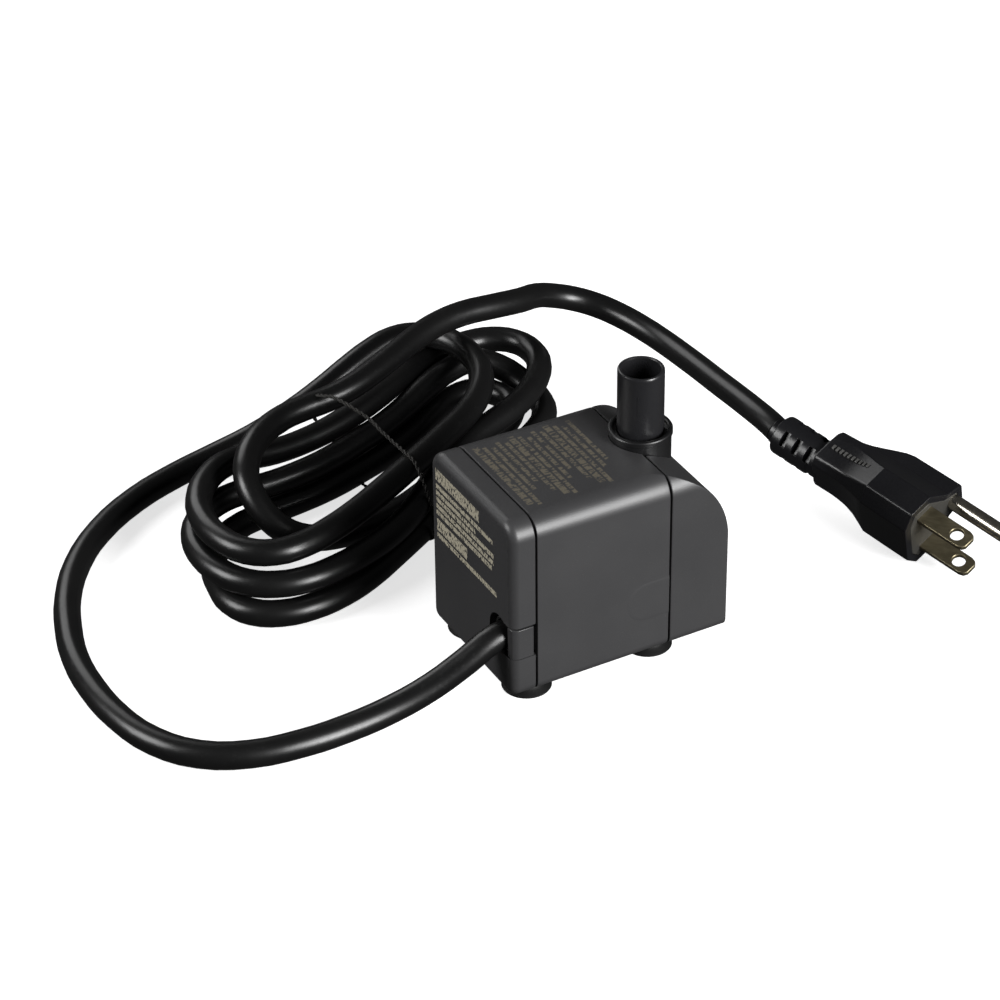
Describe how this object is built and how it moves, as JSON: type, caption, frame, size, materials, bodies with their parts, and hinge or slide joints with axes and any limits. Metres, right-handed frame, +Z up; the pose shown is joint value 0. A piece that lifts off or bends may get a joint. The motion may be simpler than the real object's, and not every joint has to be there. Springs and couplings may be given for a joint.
{
  "type": "fountain submersible pump",
  "caption": "Small mains-powered submersible pump with an upright outlet spout, a slotted intake face, and a bundled cord with a three-pin plug.",
  "frame": {"origin": "middle of the pump on the floor it stands on, without the cord and plug", "axes": "+Z up along the outlet spout, +X towards the intake face, -X towards the cable end, -Y the side the cable leaves nearest to"},
  "size_m": [0.2561, 0.186, 0.08],
  "materials": {
    "housing_black": "moulded, fine satin texture",
    "head_black": "moulded, satin",
    "spout_grey": "moulded, smooth",
    "seal_rubber": "soft, matte",
    "bush_plastic": "smooth",
    "shaft_ceramic": "ground and polished",
    "magnet_ferrite": "dull ground ferrite",
    "impeller_white": "moulded, satin",
    "core_steel": "stacked laminations",
    "bobbin_nylon": "moulded nylon",
    "winding_copper": "enamelled wire",
    "potting_epoxy": "cast, glossy",
    "wire_black": "smooth insulation",
    "wire_white": "smooth insulation",
    "wire_green": "smooth insulation",
    "foot_rubber": "soft, matte",
    "cord_vinyl": "glossy jacket",
    "tie_plastic": "thin coated wire",
    "plug_vinyl": "satin",
    "bridge_brown": "moulded",
    "blade_brass": "dull plated",
    "pin_nickel": "nickel plated"
  },
  "bodies": {
    "base": {"motor_housing": "housing_black", "rear_cover": "housing_black", "cable_clamp": "housing_black", "cable_grommet": "seal_rubber", "volute": "head_black", "volute_seal": "seal_rubber", "rear_bush": "bush_plastic", "shaft": "shaft_ceramic", "stator_core": "core_steel", "bobbin_left": "bobbin_nylon", "bobbin_right": "bobbin_nylon", "winding_left": "winding_copper", "winding_right": "winding_copper", "potting": "potting_epoxy", "wire_line": "wire_black", "wire_neutral": "wire_white", "wire_earth": "wire_green", "foot_rear_left": "foot_rubber", "foot_rear_right": "foot_rubber", "foot_front_left": "foot_rubber", "foot_front_right": "foot_rubber", "cord_lead": "cord_vinyl", "cord_hank": "cord_vinyl", "cord_tail": "cord_vinyl", "hank_tie": "tie_plastic", "plug_body": "plug_vinyl", "plug_bridge": "bridge_brown", "blade_line": "blade_brass", "blade_neutral": "blade_brass", "ground_pin": "pin_nickel"},
    "rotor": {"rotor_magnet": "magnet_ferrite", "impeller": "impeller_white"},
    "front": {"front_cover": "housing_black"},
    "regulator": {"flow_regulator": "head_black"},
    "chamber_cover": {"volute_cover": "head_black", "front_bush": "bush_plastic"},
    "spout": {"outlet_spout": "spout_grey", "spout_seal": "seal_rubber"}
  },
  "joints": [
    {"name": "rotor_spin", "type": "hinge", "parent": "base", "child": "rotor", "pos_m": [0, 0, 0.033], "axis": [1, 0, 0], "continuous": true},
    {"name": "front_pull", "type": "slide", "parent": "base", "child": "front", "axis": [1, 0, 0], "range_m": [0, 0.025]},
    {"name": "regulator_slide", "type": "slide", "parent": "front", "child": "regulator", "axis": [0, 0, -1], "range_m": [0, 0.014]},
    {"name": "chamber_cover_turn", "type": "hinge", "parent": "base", "child": "chamber_cover", "pos_m": [0, 0, 0.033], "axis": [1, 0, 0], "range_deg": [0, 20]},
    {"name": "spout_pull", "type": "slide", "parent": "base", "child": "spout", "axis": [0, 0, 1], "range_m": [0, 0.012]}
  ]
}
